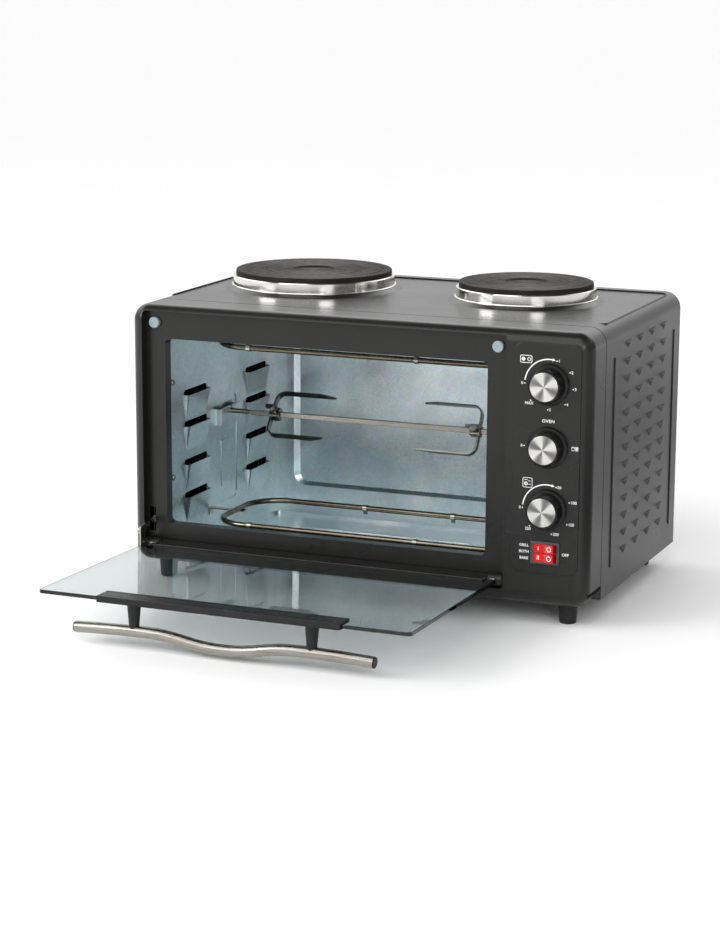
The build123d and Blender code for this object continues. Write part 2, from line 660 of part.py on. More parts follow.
def post_centres():
    return (HANDLE_X - POST_SPACING / 2, HANDLE_X + POST_SPACING / 2)


def make_handle_strip():
    half = HANDLE_STRIP_LENGTH / 2
    front = -GLASS_REACH - 4
    strip = block(HANDLE_X - half, HANDLE_X + half, front, -242, GLASS_TOP - 5.4, GLASS_TOP + 1.6)
    strip = fillet(strip.edges().filter_by(Axis.X), 0.7)
    strip -= block(
        HANDLE_X - half - 1, HANDLE_X + half + 1, -GLASS_REACH, -230,
        GLASS_TOP - GLASS_THICKNESS, GLASS_TOP,
    )
    for y in (-247, -262):
        strip -= block(
            HANDLE_X - half - 1, HANDLE_X + half + 1, y - 0.5, y + 0.5,
            GLASS_TOP + 1.1, GLASS_TOP + 3,
        )
    for x in post_centres():
        strip -= rod_z(GLASS_TOP - 0.5, GLASS_TOP + 3, x, HANDLE_Y, 4.2)
    return strip


def handle_path():
    """Handle centre line: bowed in the middle, with ends that droop a little."""
    sweep_angle = 11.7
    radius = HANDLE_BOW / 2 / (1 - math.cos(math.radians(sweep_angle)))
    crest = 2 * radius * math.sin(math.radians(sweep_angle))
    end_radius = 1400.0
    end_angle = math.degrees((HANDLE_LENGTH / 2 - crest) / end_radius)
    rise = JernArc((0, -HANDLE_BOW), (1, 0), radius, sweep_angle)
    over = JernArc(rise @ 1, rise % 1, radius, -sweep_angle)
    end = JernArc(over @ 1, over % 1, end_radius, -end_angle)
    half = [rise.edge(), over.edge(), end.edge()]
    other_half = [mirror(edge, Plane.YZ) for edge in half]
    whole = Wire.combine([*half, *other_half])[0]
    plane = Plane(origin=(HANDLE_X, HANDLE_Y, -HANDLE_DROP), x_dir=(1, 0, 0), z_dir=(0, -1, 0))
    return plane * whole


def swept_handle(radius):
    path = handle_path()
    return sweep(Plane(origin=path @ 0, z_dir=path % 0) * Circle(radius), path)


def make_handle_posts():
    tube = swept_handle(HANDLE_RADIUS)
    top = GLASS_TOP - 5.4
    bottom = -HANDLE_DROP
    posts = []
    for x in post_centres():
        cone = Cone(POST_BOTTOM_RADIUS, POST_TOP_RADIUS, top - bottom)
        posts.append(Pos(x, HANDLE_Y, (top + bottom) / 2) * cone - tube)
    return group(posts)


def make_handle_end_caps():
    path = handle_path()
    caps = []
    for end, direction in ((0, -1), (1, 1)):
        outward = (path % end) * direction
        plane = Plane(origin=path @ end, z_dir=outward)
        disc = extrude(plane * Circle(HANDLE_RADIUS - 0.3), 1.6)
        disc = fillet(disc.edges().sort_by(Axis.X)[0 if direction < 0 else -1], 0.8)
        plug = extrude(plane * Circle(HANDLE_RADIUS - HANDLE_WALL - 0.1), -8)
        caps.append(disc + plug)
    return group(caps)


def make_handle_screws():
    screws = []
    for x in post_centres():
        head = Pos(x, HANDLE_Y, GLASS_TOP + 0.7) * Cylinder(3.4, 1.4)
        screws.append(head - Pos(x, HANDLE_Y, GLASS_TOP + 1.3) * (Box(4, 0.8, 1) + Box(0.8, 4, 1)))
    return group(screws)


def make_stay_lug():
    """Bracket on the door's left end, with the fixed rivet that carries the stay."""
    outline = Polyline(
        (-27, -4.5), (0, -4.5), (0, 7), (-15.5, 7), (-15.5, 24.5), (-27, 24.5), close=True
    )
    lug = extrude(Plane.YZ.offset(-252.6) * fillet(make_face(outline).vertices(), 2.5), 1.6)
    lug += rod_x(-252.6, -251.0, 0, 0, KNUCKLE_RADIUS + 1.1)
    lug -= rod_x(-253, -250, 0, 0, KNUCKLE_RADIUS)
    lug += rod_x(-255.0, -252.0, STAY_RIVET_Y, STAY_RIVET_Z, STAY_RIVET_RADIUS)
    head = rod_x(-256.3, -254.9, STAY_RIVET_Y, STAY_RIVET_Z, 4.4)
    return lug + fillet(head.edges().sort_by(Axis.X)[0], 0.8)


def make_stay_arm():
    """Flat arm through the slot in the frame: its turned tab stops the open door from behind."""
    arm = side_plate(-5, STAY_REACH + 1.5, -4, 4, -254.5, -253.0, 3.9)
    arm += block(-254.5, -253.0, STAY_REACH - 5, STAY_REACH + 1.5, -4, 4)
    arm += block(-254.5, -244.5, STAY_REACH, STAY_REACH + 1.5, -4, 4)
    arm -= rod_x(-255, -252, 0, 0, STAY_RIVET_RADIUS + RUNNING_FIT)
    turned = Pos(0, STAY_RIVET_Y, STAY_RIVET_Z) * Rot(STAY_ANGLE + DOOR_RISE, 0, 0) * arm
    return hang_door(turned)


def make_door_bumpers():
    """Silicone buttons that the closed glass rests on."""
    buttons = []
    for x in (RECESS_LEFT + 11.5, RECESS_RIGHT - 12.5):
        button = rod_y(HINGE_Y + GLASS_TOP + GAP, RECESS_DEPTH, x, 303, 6.5)
        buttons.append(fillet(button.edges().sort_by(Axis.Y)[0], 1.4))
    return group(buttons)


# ---------------------------------------------------------------- controls
def knob_body(knob_z):
    """Turned knob: skirt flange, tapered grip, and a seat for the metal face."""
    base = -PANEL_RISE - GAP
    flange = KNOB_FLANGE_RADIUS
    rim = KNOB_FACE_RADIUS + 1.1
    seat = KNOB_FACE_RADIUS + 0.1
    outline = Polyline(
        (0, base), (flange, base), (flange, base - 1.8), (flange - 0.9, base - 2.8),
        (rim + 2.4, base - 3.4), (rim + 1.0, KNOB_FACE_Y + 1.0), (rim, KNOB_FACE_Y), (seat, KNOB_FACE_Y),
        (seat, KNOB_FACE_Y + 1.5), (0, KNOB_FACE_Y + 1.5),
        close=True,
    )
    body = revolve(make_face(outline), Axis.Y)
    body -= rod_y(KNOB_FACE_Y + 5, base + 1, 0, 0, SHAFT_RADIUS)
    return Pos(KNOB_X, 0, knob_z) * body


def knob_face(knob_z):
    disc = rod_y(KNOB_FACE_Y - 0.5, KNOB_FACE_Y + 1.5, KNOB_X, knob_z, KNOB_FACE_RADIUS)
    return fillet(disc.edges().sort_by(Axis.Y)[0], 0.5)


def knob_shaft(knob_z):
    return rod_y(KNOB_FACE_Y + 5, 22, KNOB_X, knob_z, SHAFT_RADIUS)


def control_body(knob_z, width, depth):
    """Control behind the panel, with the bushing that its shaft turns in."""
    body = front_plate(
        KNOB_X - width / 2, KNOB_X + width / 2, knob_z - width / 2, knob_z + width / 2,
        3, 3 + depth, 4,
    )
    body += rod_y(SHEET + GAP, 4, KNOB_X, knob_z, 8)
    body += block(KNOB_X - width / 2 - 6, KNOB_X + width / 2 + 6, 3, 4.2, knob_z - 6, knob_z + 6)
    for i in range(4):
        x = KNOB_X - width / 2 + 6 + i * (width - 12) / 3
        body += block(x - 0.4, x + 0.4, 3 + depth, 10 + depth, knob_z - 3, knob_z + 3)
    return body - rod_y(0, 24, KNOB_X, knob_z, SHAFT_RADIUS + RUNNING_FIT)


def make_thermostat_probe():
    """Sensing bulb on the cavity's right wall and its capillary tube to the thermostat."""
    bulb_x = LINER_RIGHT - 5
    entry_z = OVEN_KNOB_Z + 10
    bulb = rod_y(70, 140, bulb_x, 255, 2.4)
    path = FilletPolyline(
        (bulb_x, 140, 255), (bulb_x, 150, 255), (200, 150, 255), (200, 60, 255),
        (200, 60, entry_z), (KNOB_X - 10, 60, entry_z), (KNOB_X - 10, 27, entry_z),
        radius=5,
    )
    tube = sweep(Plane(origin=path @ 0, z_dir=path % 0) * Circle(1.0), path)
    return bulb + tube


def make_rocker_housing():
    left = SWITCH_X - SWITCH_WIDTH / 2
    right = SWITCH_X + SWITCH_WIDTH / 2
    bottom = SWITCH_Z - SWITCH_HEIGHT / 2
    top = SWITCH_Z + SWITCH_HEIGHT / 2
    bezel = front_plate(left, right, bottom, top, -PANEL_RISE - 2, -PANEL_RISE, 1.5)
    bezel = fillet(bezel.faces().sort_by(Axis.Y)[0].edges(), 0.7)
    body = block(SWITCH_X - 13.9, SWITCH_X + 13.9, -PANEL_RISE - 1, 22, SWITCH_Z - 10.7, SWITCH_Z + 10.7)
    housing = bezel + body
    for side in (-1, 1):
        z = SWITCH_Z + side * ROCKER_PITCH / 2
        half = ROCKER_HEIGHT / 2 + 0.2
        housing -= block(
            SWITCH_X - ROCKER_LENGTH / 2 - 0.4, SWITCH_X + ROCKER_LENGTH / 2 + 0.4,
            -5, 14, z - half, z + half,
        )
    pin_end = (ROCKER_PITCH + ROCKER_HEIGHT) / 2 + ROCKER_PIN_REACH + 0.1
    return housing - rod_z(
        SWITCH_Z - pin_end, SWITCH_Z + pin_end, SWITCH_X, ROCKER_PIVOT_Y, ROCKER_PIN_RADIUS + RUNNING_FIT
    )


def make_rocker(z):
    """Rocker with its left end pressed in, and a pivot pin at its top and bottom."""
    half = ROCKER_LENGTH / 2 - 1.0
    outline = Polyline(
        (-half, -7.4), (0, -5.6), (half, -7.4), (half - 0.6, 1), (5, 5), (-5, 5), (-half + 0.6, 1),
        close=True,
    )
    rocker = extrude(make_face(outline), ROCKER_HEIGHT)
    rocker = fillet(rocker.edges().filter_by(Axis.X, reverse=True).filter_by(Axis.Z), 0.4)
    rocker += rod_z(-ROCKER_PIN_REACH, ROCKER_HEIGHT + ROCKER_PIN_REACH, 0, 0, ROCKER_PIN_RADIUS)
    turned = Rot(0, 0, ROCKER_TILT) * rocker
    return Pos(SWITCH_X, ROCKER_PIVOT_Y, z - ROCKER_HEIGHT / 2) * turned


def make_terminal_block():
    body = flat_plate(178, 222, 296, 312, BODY_BOTTOM + SHEET, BODY_BOTTOM + SHEET + 14, 2)
    for x in (187, 200, 213):
        body -= rod_z(BODY_BOTTOM + 10, BODY_BOTTOM + 20, x, 304, 3)
        body += rod_z(BODY_BOTTOM + 8, BODY_BOTTOM + 13, x, 304, 2.2)
    return body


# ---------------------------------------------------------------- hotplates
def make_hotplate(x, radius):
    """Cast plate with a central dimple, two turned rings and a threaded stud below."""
    rim_bottom = TRIM_TOP - 7
    plate = rod_z(rim_bottom, PLATE_TOP, x, PLATE_Y, radius)
    plate = fillet(plate.edges().sort_by(Axis.Z)[-1], 1.4)
    plate -= rod_z(rim_bottom - 1, rim_bottom + 4, x, PLATE_Y, radius - 6)
    dimple = Pos(x, PLATE_Y, PLATE_TOP - 1.0) * Cone(PLATE_DIMPLE_RADIUS - 3, PLATE_DIMPLE_RADIUS, 2)
    plate -= dimple
    for ring_radius in (radius * 0.62, radius * 0.88):
        groove = rod_z(PLATE_TOP - 0.35, PLATE_TOP + 1, x, PLATE_Y, ring_radius + 0.5)
        groove -= rod_z(PLATE_TOP - 2, PLATE_TOP + 2, x, PLATE_Y, ring_radius - 0.5)
        plate -= groove
    return plate + rod_z(298, rim_bottom + 6, x, PLATE_Y, SHAFT_RADIUS)


def make_trim_ring(x, radius):
    """Stainless collar between the casing and the plate, flared at its foot."""
    foot = FIELD_TOP + COLLAR_HEIGHT
    inner = radius + 0.25
    outline = Polyline(
        (inner, TRIM_TOP), (radius + 2.4, TRIM_TOP), (radius + 3.2, TRIM_TOP - 1),
        (radius + 3.6, foot + 1.2), (radius + 5.2, foot + 0.6), (radius + 5.2, foot),
        (radius + 2.4, foot), (radius + 2.2, TRIM_TOP - 1.4), (inner, TRIM_TOP - 1),
        close=True,
    )
    ring = revolve(Plane.XZ * make_face(outline), Axis.Z)
    return Pos(x, PLATE_Y, 0) * ring


def make_hotplate_clamps():
    """A bar under the top panel and a nut on the stud hold each plate down."""
    pieces = []
    for x, radius in ((LEFT_PLATE_X, LEFT_PLATE_RADIUS), (RIGHT_PLATE_X, RIGHT_PLATE_RADIUS)):
        top = FIELD_TOP - SHEET
        bar = flat_plate(x - radius - 3, x + radius + 3, PLATE_Y - 10, PLATE_Y + 10, top - 2, top, 3)
        pieces.append(bar - rod_z(top - 5, top + 5, x, PLATE_Y, SHAFT_RADIUS + 0.2))
        nut = Pos(x, PLATE_Y, top - 2 - 5) * extrude(RegularPolygon(5.8, 6), 5)
        pieces.append(nut - rod_z(top - 10, top, x, PLATE_Y, SHAFT_RADIUS))
    return group(pieces)


# ---------------------------------------------------------------- the whole oven
def build_casing():
    nodes["front_frame"] = make_front_frame()
    nodes["outer_shell"] = make_outer_shell()
    nodes["rear_panel"] = make_rear_panel()
    nodes["bottom_panel"] = make_bottom_panel()
    nodes["feet"] = group(
        make_foot(x, y) for x in (-FOOT_X, FOOT_X) for y in (FOOT_FRONT_Y, FOOT_REAR_Y)
    )
    nodes["casing_screws"] = make_casing_screws()
    nodes["cable_gland"] = make_cable_gland()
    nodes["terminal_block"] = make_terminal_block()


def build_cavity():
    nodes["cavity_left_wall"] = make_side_liner()
    nodes["cavity_right_wall"] = liner_wall_right()
    nodes["cavity_top"] = make_cavity_top()
    nodes["cavity_floor"] = make_cavity_floor()
    nodes["cavity_back_wall"] = make_cavity_back()
    nodes["upper_element"] = make_element(UPPER_ELEMENT_Z)
    nodes["lower_element"] = make_element(LOWER_ELEMENT_Z)
    nodes["element_clips"] = make_element_clips()
    nodes["element_terminals"] = make_element_terminals()


def build_rotisserie():
    nodes["spit_bracket"] = make_spit_bracket()
    nodes["spit"] = make_spit()
    nodes["drive_socket"] = make_drive_socket()
    nodes["gearmotor"] = make_gearmotor()
    nodes["fork_left"] = place_left_fork(fork_at_origin())
    nodes["fork_right"] = place_right_fork(fork_at_origin())
    nodes["thumb_screw_left"] = place_left_fork(thumb_screw_at_origin())
    nodes["thumb_screw_right"] = place_right_fork(thumb_screw_at_origin())


def build_door():
    nodes["door_glass"] = hang_door(make_door_glass())
    nodes["hinge_rail"] = hang_door(make_hinge_rail())
    nodes["hinge_knuckles"] = hang_door(make_hinge_knuckles())
    nodes["hinge_pins"] = hang_door(make_hinge_pins())
    nodes["handle_strip"] = hang_door(make_handle_strip())
    nodes["handle_posts"] = hang_door(make_handle_posts())
    tube = swept_handle(HANDLE_RADIUS) - swept_handle(HANDLE_RADIUS - HANDLE_WALL)
    nodes["handle_tube"] = hang_door(tube)
    nodes["handle_end_caps"] = hang_door(make_handle_end_caps())
    nodes["handle_screws"] = hang_door(make_handle_screws())
    nodes["stay_lug"] = hang_door(make_stay_lug())
    nodes["stay_arm"] = make_stay_arm()
    nodes["door_bumpers"] = make_door_bumpers()


def build_controls():
    for name, knob_z in (
        ("hotplate", HOTPLATE_KNOB_Z), ("function", FUNCTION_KNOB_Z), ("oven", OVEN_KNOB_Z)
    ):
        nodes[f"{name}_knob"] = knob_body(knob_z)
        nodes[f"{name}_knob_face"] = knob_face(knob_z)
        nodes[f"{name}_shaft"] = knob_shaft(knob_z)
    nodes["hotplate_regulator"] = control_body(HOTPLATE_KNOB_Z, 34, 26)
    nodes["function_switch"] = control_body(FUNCTION_KNOB_Z, 38, 30)
    nodes["oven_thermostat"] = control_body(OVEN_KNOB_Z, 32, 24)
    nodes["thermostat_probe"] = make_thermostat_probe()
    nodes["rocker_housing"] = make_rocker_housing()
    nodes["rocker_grill"] = make_rocker(SWITCH_Z + ROCKER_PITCH / 2)
    nodes["rocker_bake"] = make_rocker(SWITCH_Z - ROCKER_PITCH / 2)


def build_hotplates():
    nodes["hotplate_left"] = make_hotplate(LEFT_PLATE_X, LEFT_PLATE_RADIUS)
    nodes["hotplate_right"] = make_hotplate(RIGHT_PLATE_X, RIGHT_PLATE_RADIUS)
    nodes["trim_ring_left"] = make_trim_ring(LEFT_PLATE_X, LEFT_PLATE_RADIUS)
    nodes["trim_ring_right"] = make_trim_ring(RIGHT_PLATE_X, RIGHT_PLATE_RADIUS)
    nodes["hotplate_clamps"] = make_hotplate_clamps()


def export_nodes():
    """Writes each node, moved so that the footprint's centre is the origin."""
    os.makedirs("parts", exist_ok=True)
    boxes = [shape.bounding_box() for shape in nodes.values()]
    front = min(box.min.Y for box in boxes)
    rear = max(box.max.Y for box in boxes)
    centre_y = (front + rear) / 2
    for name, shape in nodes.items():
        export_step(Pos(0, -centre_y, 0) * shape, f"parts/{name}.step")
    print(f"{len(nodes)} nodes, front face at y = {-centre_y:.3f}")


build_casing()
build_cavity()
build_rotisserie()
build_door()
build_controls()
build_hotplates()
export_nodes()
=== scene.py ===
import math

import bpy
from mathutils import Matrix, Vector
from mathutils.bvhtree import BVHTree


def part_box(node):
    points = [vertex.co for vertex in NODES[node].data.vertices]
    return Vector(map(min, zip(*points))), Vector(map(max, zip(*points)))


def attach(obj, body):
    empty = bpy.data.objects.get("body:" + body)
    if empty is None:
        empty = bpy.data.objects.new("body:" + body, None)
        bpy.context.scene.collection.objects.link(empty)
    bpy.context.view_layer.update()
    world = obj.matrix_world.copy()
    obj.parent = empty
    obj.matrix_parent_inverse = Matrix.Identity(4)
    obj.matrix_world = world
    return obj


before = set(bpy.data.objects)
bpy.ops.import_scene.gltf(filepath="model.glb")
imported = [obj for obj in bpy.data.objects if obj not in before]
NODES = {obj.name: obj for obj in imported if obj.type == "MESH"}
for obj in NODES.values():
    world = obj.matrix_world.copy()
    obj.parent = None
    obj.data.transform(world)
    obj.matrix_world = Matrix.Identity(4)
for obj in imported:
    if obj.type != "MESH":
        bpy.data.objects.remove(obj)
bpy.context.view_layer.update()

# Rotisserie oven with two hotplates, on a pale floor. All lengths are in metres.

MM = 0.001

# The camera's angles are in degrees, and its lens and sensor in millimetres.
CAMERA_PLACE = (1.0504, -2.5624, 0.7456)
CAMERA_YAW = 22.57
CAMERA_PITCH = 12.43
CAMERA_ROLL = 0.23
CAMERA_LENS = 98.1
CAMERA_SENSOR = 36.0
CAMERA_SHIFT = (0.0055, 0.0171)
CAMERA_REACH = 100.0

# Painted highlight: bright wedges painted into the colour of a knob's spun face.
PAINTED_WEDGES = 4.0

# Printed letters. A capital is CAP_SHARE of the font's size, its strokes are thickened by
# STROKE_GAIN of its height, and CHARACTER_WIDTH is its mean width as a share of its height.
INK_THICKNESS = 0.04 * MM
CAP_SHARE = 0.72
STROKE_GAIN = 0.018
CHARACTER_WIDTH = 0.74
LETTER_STEPS = 3
RING_STEPS = 48
DOT_STEPS = 16
CORNER_STEPS = 6

# Printed scales round the dials. Angles are in degrees anticlockwise from +X.
NUMERAL = 3.2 * MM
NUMERAL_GAP = 1.3 * MM
NUMERAL_DROP = 3.2 * MM
SCALE_RADIUS = 27.2 * MM
SCALE_LINE = 1.3 * MM
SCALE_DOT = 0.75 * MM
ZERO_GAP = 3.0 * MM
ARC_START = 173
ARROW_LENGTH = 3.4 * MM
ARROW_SPAN = 6
ARROW_TURN = -88
HOTPLATE_MARKS = (("1", 72), ("2", 32), ("3", -7), ("4", -48), ("5", -92), ("MAX", -138))
OVEN_MARKS = (("50", 68), ("100", 21), ("150", -32), ("200", -77), ("250", -134))

# Marks on the rockers, from the rocker's middle.
ROCKER_RING_X = 6.2 * MM
ROCKER_BARS_X = -6.4 * MM
ROCKER_BAR_PITCH = 1.7 * MM

# Floor and room. The patch, painted shade on the floor, fades out between two shares of its size. A stop
# of the room's shading is the sine of the height above the horizon, or the share of +X, and its grey.
FLOOR_REACH = 30.0
PATCH_PLACE = (0.95, 0.60, 0.0)
PATCH_SIZE = (0.55, 1.30, 1.0)
PATCH_FADE = (0.75, 1.10)
ROOM_BY_SIDE = ((0.0, 1.0), (0.30, 1.0), (0.6, 0.30))
ROOM_BY_HEIGHT = ((0.0, 0.36), (0.28, 0.36), (0.42, 1.0), (0.66, 1.0), (0.80, 0.05), (1.0, 0.04))
ROOM_STRENGTH = 2.6


# ---------------------------------------------------------------- small helpers
def centre_of(node):
    low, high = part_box(node)
    return (low + high) / 2


def link(obj):
    bpy.context.scene.collection.objects.link(obj)
    return obj


def mesh_object(name, verts, faces, material):
    mesh = bpy.data.meshes.new(name)
    mesh.from_pydata([tuple(v) for v in verts], [], faces)
    mesh.update()
    mesh.materials.append(material)
    return link(bpy.data.objects.new(name, mesh))


def set_stops(ramp, stops):
    """Gives a colour ramp node its stops, each a position and a colour."""
    elements = ramp.color_ramp.elements
    while len(elements) < len(stops):
        elements.new(0.5)
    for element, (position, colour) in zip(elements, stops):
        element.position = position
        element.color = (*colour, 1.0)


class Look:
    """A node material built round one Principled shader, in the object's own coordinates."""

    def __init__(self, name, **sockets):
        self.material = bpy.data.materials.new(name)
        self.material.use_nodes = True
        self.tree = self.material.node_tree
        self.shader = self.tree.nodes["Principled BSDF"]
        self.place = self.node("ShaderNodeTexCoord").outputs["Object"]
        self.normal = None
        for socket, value in sockets.items():
            label = socket.replace("_", " ").title().replace("Ior", "IOR")
            self.shader.inputs[label].default_value = value

    def node(self, kind, inputs=None, **settings):
        """Adds a node whose inputs are plain values or other nodes' outputs."""
        made = self.tree.nodes.new(kind)
        for key, value in settings.items():
            setattr(made, key, value)
        for key, value in (inputs or {}).items():
            if isinstance(value, bpy.types.NodeSocket):
                self.tree.links.new(value, made.inputs[key])
            else:
                made.inputs[key].default_value = value
        return made

    def feed(self, socket, output):
        self.tree.links.new(output, self.shader.inputs[socket])

    def maths(self, operation, *values):
        inputs = dict(enumerate(values))
        return self.node("ShaderNodeMath", inputs, operation=operation).outputs["Value"]

    def vector_maths(self, operation, *values):
        inputs = dict(enumerate(values))
        return self.node("ShaderNodeVectorMath", inputs, operation=operation).outputs

    def mapped(self, **inputs):
        """The object's coordinates, moved or scaled by a Mapping node's inputs."""
        return self.node("ShaderNodeMapping", {"Vector": self.place, **inputs}).outputs["Vector"]

    def split(self, vector):
        """X, Y and Z of a vector, by name."""
        return self.node("ShaderNodeSeparateXYZ", {"Vector": vector}).outputs

    def noise(self, scale, detail=3.0, place=None):
        return self.node(
            "ShaderNodeTexNoise",
            {"Vector": place or self.place, "Scale": scale, "Detail": detail, "Roughness": 0.55},
        ).outputs["Fac"]

    def spread(self, value, low, high, near=0.3, far=0.7):
        """Maps a value that runs from near to far to the range from low to high."""
        return self.node(
            "ShaderNodeMapRange",
            {"Value": value, "From Min": near, "From Max": far, "To Min": low, "To Max": high},
        ).outputs["Result"]

    def ramp(self, value, *stops):
        ramp = self.node("ShaderNodeValToRGB", {"Fac": value})
        set_stops(ramp, stops)
        return ramp.outputs["Color"]

    def colour(self, value, *stops):
        self.feed("Base Color", self.ramp(value, *stops))
        return self

    def roughness(self, value, low, high):
        self.feed("Roughness", self.spread(value, low, high))
        return self

    def bump(self, height, depth, strength):
        """Adds a relief whose full height is depth, in metres."""
        inputs = {"Height": height, "Distance": depth, "Strength": strength}
        if self.normal:
            inputs["Normal"] = self.normal
        self.normal = self.node("ShaderNodeBump", inputs).outputs["Normal"]
        self.feed("Normal", self.normal)
        return self


def dress(look, *names):
    for name in names:
        materials = NODES[name].data.materials
        materials.clear()
        materials.append(look.material)


# ---------------------------------------------------------------- materials
def painted_shade_facets(look):
    """Painted shade: a mask on the undersides of the side panels' pressed triangles, which lie in their
    own shade; there the coat loses its reflection so they read dark.
    """
    normal = look.split(look.node("ShaderNodeNewGeometry").outputs["True Normal"])
    side = look.spread(look.maths("ABSOLUTE", normal["X"]), 0.0, 1.0, near=0.84, far=0.90)
    under = look.spread(normal["Z"], 1.0, 0.0, near=-0.20, far=-0.10)
    return look.maths("MULTIPLY", side, under)


def powder_coat():
    look = Look("powder_coat", specular_ior_level=0.34)
    patches = look.noise(9.0, detail=2.0)
    grain = look.noise(2600.0, detail=2.0)
    look.colour(patches, (0.3, (0.0065, 0.0062, 0.0058)), (0.7, (0.0100, 0.0095, 0.0088)))
    look.roughness(look.noise(12.0, detail=1.0), 0.26, 0.31)
    # Painted shade: the IOR falls to about 1 on those facets, so they lose their reflection and read
    # dark.
    look.feed("IOR", look.spread(painted_shade_facets(look), 1.5, 1.03, near=0.0, far=1.0))
    return look.bump(grain, 0.01 * MM, 0.20)


def galvanised():
    look = Look("galvanised", metallic=1.0)
    spangle = look.node(
        "ShaderNodeTexVoronoi", {"Vector": look.place, "Scale": 210.0}, feature="F1"
    ).outputs["Color"]
    speckle = look.noise(1900.0, detail=2.0)
    clouds = look.noise(14.0, detail=4.0)
    tint = look.ramp(
        clouds, (0.3, (0.44, 0.52, 0.55)), (0.55, (0.56, 0.63, 0.65)), (0.75, (0.68, 0.73, 0.74))
    )
    flakes = look.node(
        "ShaderNodeMix", {"Factor": 0.14, "A": tint, "B": spangle},
        data_type="RGBA", blend_type="SOFT_LIGHT",
    )
    look.feed("Base Color", flakes.outputs[2])
    look.roughness(speckle, 0.22, 0.36)
    return look.bump(speckle, 0.03 * MM, 0.30)


def heater_tube():
    look = Look("heater_tube", metallic=1.0)
    patches = look.noise(35.0, place=look.mapped(Scale=(0.3, 1.0, 1.0)))
    look.colour(
        patches, (0.25, (0.09, 0.07, 0.048)), (0.55, (0.18, 0.152, 0.115)), (0.8, (0.30, 0.265, 0.21))
    )
    look.roughness(look.noise(300.0), 0.16, 0.30)
    return look.bump(look.noise(900.0), 0.01 * MM, 0.25)


def bright_plate():
    look = Look("bright_plate", metallic=1.0)
    look.colour(look.noise(60.0), (0.3, (0.30, 0.29, 0.27)), (0.7, (0.46, 0.45, 0.42)))
    look.roughness(look.noise(240.0), 0.14, 0.28)
    return look.bump(look.noise(1500.0), 0.01 * MM, 0.2)


def fork_steel():
    look = Look("fork_steel", metallic=1.0)
    drawn = look.noise(500.0, place=look.mapped(Scale=(0.05, 1.0, 1.0)))
    look.colour(drawn, (0.3, (0.20, 0.185, 0.165)), (0.7, (0.33, 0.31, 0.28)))
    look.roughness(drawn, 0.18, 0.30)
    return look.bump(drawn, 0.01 * MM, 0.3)


def dark_screws():
    look = Look("dark_screws", metallic=1.0)
    look.colour(look.noise(200.0), (0.3, (0.025, 0.025, 0.025)), (0.7, (0.05, 0.05, 0.05)))
    look.roughness(look.noise(500.0), 0.25, 0.40)
    return look.bump(look.noise(1500.0), 0.01 * MM, 0.2)


def brushed_steel():
    look = Look("brushed_steel", metallic=1.0)
    brush = look.noise(1400.0, detail=4.0, place=look.mapped(Scale=(0.02, 1.0, 1.0)))
    look.colour(brush, (0.3, (0.25, 0.235, 0.21)), (0.7, (0.40, 0.38, 0.345)))
    look.roughness(brush, 0.20, 0.36)
    return look.bump(brush, 0.012 * MM, 0.5)


def trim_steel():
    look = Look("trim_steel", metallic=1.0)
    turned = look.noise(3000.0, place=look.mapped(Scale=(0.01, 0.01, 1.0)))
    look.colour(look.noise(20.0), (0.3, (0.70, 0.69, 0.67)), (0.7, (0.84, 0.83, 0.81)))
    look.roughness(turned, 0.08, 0.18)
    return look.bump(turned, 0.006 * MM, 0.4)


def concentric(look, node, pitch, axis):
    """Fine rings round a node's middle, as a lathe leaves them."""
    across = {"Y": (1.0, 0.0, 1.0), "Z": (1.0, 1.0, 0.0)}[axis]
    flat = look.vector_maths("MULTIPLY", look.mapped(Location=-centre_of(node)), across)["Vector"]
    radius = look.vector_maths("LENGTH", flat)["Value"]
    return look.maths("SINE", look.maths("MULTIPLY", radius, 2 * math.pi / pitch))


def radial_tangent(look, axis):
    tangent = look.node("ShaderNodeTangent", direction_type="RADIAL", axis=axis)
    look.feed("Tangent", tangent.outputs["Tangent"])


def cast_plate(node):
    look = Look("cast_plate_" + node, specular_ior_level=0.08, anisotropic=0.5)
    radial_tangent(look, "Z")
    patches = look.noise(26.0, detail=5.0)
    look.colour(
        patches, (0.3, (0.012, 0.010, 0.009)), (0.6, (0.022, 0.019, 0.016)), (0.8, (0.034, 0.029, 0.025))
    )
    look.roughness(look.noise(120.0, detail=5.0), 0.46, 0.60)
    look.bump(concentric(look, node, 0.9 * MM, "Z"), 0.02 * MM, 0.35)
    return look.bump(look.noise(800.0), 0.03 * MM, 0.35)


def spun_aluminium(node):
    """Turned face, with painted highlights: its colour brightens in a few wedges round the middle, where
    the fine rings would gather the light.
    """
    look = Look("spun_aluminium_" + node, metallic=1.0, anisotropic=0.92, roughness=0.24)
    radial_tangent(look, "Y")
    place = look.split(look.mapped(Location=-centre_of(node)))
    # Painted highlight: the colour runs from dark to bright in a few wedges by angle round the face's
    # middle.
    angle = look.maths("ARCTAN2", place["Z"], place["X"])
    painted_wedges = look.maths("SINE", look.maths("MULTIPLY", angle, PAINTED_WEDGES))
    uneven = look.maths("ADD", painted_wedges, look.noise(90.0, detail=1.0))
    painted_light_and_shade = look.spread(uneven, 0.0, 1.0, near=-0.6, far=1.4)
    look.colour(
        painted_light_and_shade, (0.0, (0.14, 0.14, 0.135)), (0.35, (0.28, 0.275, 0.27)), (0.8, (0.60, 0.59, 0.575))
    )
    return look.bump(concentric(look, node, 0.35 * MM, "Y"), 0.004 * MM, 0.3)


def dark_plastic():
    look = Look("dark_plastic", specular_ior_level=0.28)
    look.colour(look.noise(80.0), (0.3, (0.006, 0.006, 0.006)), (0.7, (0.011, 0.011, 0.011)))
    look.roughness(look.noise(500.0), 0.36, 0.48)
    return look.bump(look.noise(2200.0), 0.03 * MM, 0.35)


